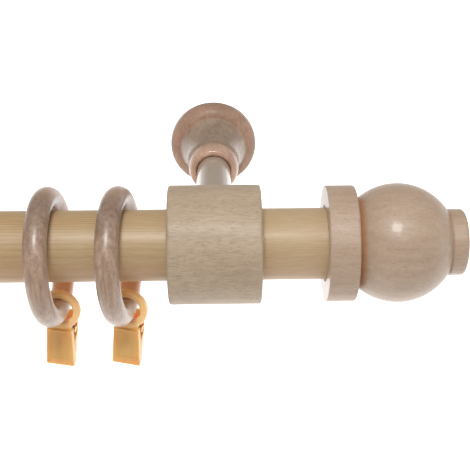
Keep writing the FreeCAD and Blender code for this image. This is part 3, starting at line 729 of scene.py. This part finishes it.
# Floor: a disc of rings of faces that glows under and behind the rod
FLOOR_RINGS = 6
FLOOR_SIDES = 64
FLOOR_REACH = 9.0
FLOOR_GLOW_EDGE = (-0.72, 0.08)

# Surroundings: direction of the dimmer part in front, greys of the parts
DIM_FRONT = (0, -0.97, 0.05)
OVERHEAD_GREY = 0.33
FRONT_GREY = 0.25

SENSOR_WIDTH = 36.0
NEAREST_SEEN = 10 * MM


class CURTAINROD_OT_stage(bpy.types.Operator):
    """Set the floor, the lights and the camera"""
    bl_idname = "curtainrod.stage"
    bl_label = "Stage"

    def execute(self, context):
        studio = context.scene.curtain_studio
        bracket = centre_of("sleeve_right")
        self.make_floor(studio.floor_drop)
        self.make_world(context.scene)
        self.make_softbox("key softbox", studio.key_power, bracket, **KEY_SOFTBOX)
        self.make_softbox("fill softbox", studio.fill_power, bracket, **FILL_SOFTBOX)
        self.make_camera(context.scene, studio, bracket)
        context.scene.view_settings.view_transform = "Standard"
        context.scene.view_settings.look = "None"
        return {"FINISHED"}

    def make_floor(self, drop):
        """A wide pale disc below the rod."""
        work = bmesh.new()
        angles = [2 * math.pi * k / FLOOR_SIDES for k in range(FLOOR_SIDES)]
        rows = []
        for ring in range(1, FLOOR_RINGS + 1):
            radius = FLOOR_REACH * (ring / FLOOR_RINGS) ** 2
            rows.append([work.verts.new((radius * math.cos(angle), radius * math.sin(angle), -drop))
                         for angle in angles])
        work.faces.new(rows[0])
        for inner, outer in zip(rows, rows[1:]):
            for k in range(FLOOR_SIDES):
                after = (k + 1) % FLOOR_SIDES
                work.faces.new((inner[k], outer[k], outer[after], inner[after]))
        mesh = bpy.data.meshes.new("floor")
        work.to_mesh(mesh)
        work.free()
        floor = bpy.data.objects.new("floor", mesh)
        bpy.context.scene.collection.objects.link(floor)
        s = Shader(bpy.data.materials.new("pale floor"))
        cloud = s.noise(s.place(), 3.0, detail=2.0)
        colour = s.mix(cloud, grey(0.86), grey(0.90))
        behind = s.split(s.place())[1].smooth(*FLOOR_GLOW_EDGE)
        glow = s.mix(behind, grey(0.05), grey(1.4))
        s.principled({"Base Color": colour, "Roughness": 0.9,
                      "Emission Color": glow, "Emission Strength": 1.0})
        floor.data.materials.append(s.owner)

    def make_world(self, scene):
        """White surroundings, dimmer in front of the object than above and behind it."""
        s = Shader(bpy.data.worlds.new("white studio"), "ShaderNodeOutputWorld")
        scene.world = s.owner
        direction = s.node("ShaderNodeTexCoord", {}, {}, "Generated")
        ahead = s.vector_math("DOT_PRODUCT", {0: direction, 1: DIM_FRONT}, "Value")
        height = s.split(direction)[2]
        sky = s.mix(height.smooth(0.04, 0.32), grey(1.0), grey(OVERHEAD_GREY))
        shade = s.mix(ahead.smooth(0.0, 0.95), sky, grey(FRONT_GREY))
        light = s.node("ShaderNodeBackground", {}, {"Color": shade, "Strength": 1.0}, "Background")
        backdrop = s.node("ShaderNodeBackground", {}, {"Color": grey(1.0), "Strength": 1.0}, "Background")
        seen = s.node("ShaderNodeLightPath", {}, {}, "Is Camera Ray")
        both = s.node("ShaderNodeMixShader", {}, {0: seen, 1: light, 2: backdrop}, "Shader")
        s.tree.links.new(both.socket, s.output.inputs["Surface"])

    def make_softbox(self, name, power, target, size, elevation, azimuth):
        """A round soft light that faces the target."""
        light = bpy.data.lights.new(name, "AREA")
        light.shape = "DISK"
        light.size = size
        light.energy = power
        lamp = bpy.data.objects.new(name, light)
        bpy.context.scene.collection.objects.link(lamp)
        up, sideways = math.radians(elevation), math.radians(azimuth)
        level = Vector((math.sin(sideways), -math.cos(sideways), 0)) * math.cos(up)
        away = level + Vector((0, 0, math.sin(up)))
        lamp.location = target + away * SOFTBOX_DISTANCE
        lamp.rotation_euler = away.to_track_quat("Z", "Y").to_euler()

    def make_camera(self, scene, studio, bracket):
        """The camera looks down on the right bracket."""
        data = bpy.data.cameras.new("camera")
        data.sensor_width = SENSOR_WIDTH
        data.lens = studio.lens
        data.clip_start = NEAREST_SEEN
        camera = bpy.data.objects.new("camera", data)
        scene.collection.objects.link(camera)
        back = Vector((0, -math.cos(studio.pitch), math.sin(studio.pitch))) * studio.distance
        aim = Vector((bracket.x - studio.side, ROD_AXIS.y, 0))
        camera.location = aim + back + Vector((0, 0, studio.lift))
        camera.rotation_euler = Euler((math.pi / 2 - studio.pitch, 0, -studio.yaw), "XYZ")
        scene.camera = camera


class CURTAINROD_PT_panel(bpy.types.Panel):
    """Lists the steps that dress the curtain rod"""
    bl_label = "Curtain rod"
    bl_idname = "CURTAINROD_PT_panel"
    bl_space_type = "VIEW_3D"
    bl_region_type = "UI"
    bl_category = "Curtain rod"

    def draw(self, context):
        for step in STEPS:
            self.layout.operator(step.bl_idname)


STEPS = (CURTAINROD_OT_rod, CURTAINROD_OT_brackets, CURTAINROD_OT_finials, CURTAINROD_OT_rings,
         CURTAINROD_OT_stage)
CLASSES = (RodSettings, RingSettings, StudioSettings, *STEPS, CURTAINROD_PT_panel)


def register():
    for item in CLASSES:
        bpy.utils.register_class(item)
    bpy.types.Scene.curtain_rod = PointerProperty(type=RodSettings)
    bpy.types.Scene.curtain_rings = PointerProperty(type=RingSettings)
    bpy.types.Scene.curtain_studio = PointerProperty(type=StudioSettings)


def unregister():
    del bpy.types.Scene.curtain_studio
    del bpy.types.Scene.curtain_rings
    del bpy.types.Scene.curtain_rod
    for item in reversed(CLASSES):
        bpy.utils.unregister_class(item)


def main():
    """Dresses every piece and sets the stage."""
    register()
    bpy.ops.curtainrod.rod()
    bpy.ops.curtainrod.brackets()
    bpy.ops.curtainrod.finials()
    bpy.ops.curtainrod.rings()
    bpy.ops.curtainrod.stage()


if __name__ == "__main__":
    main()
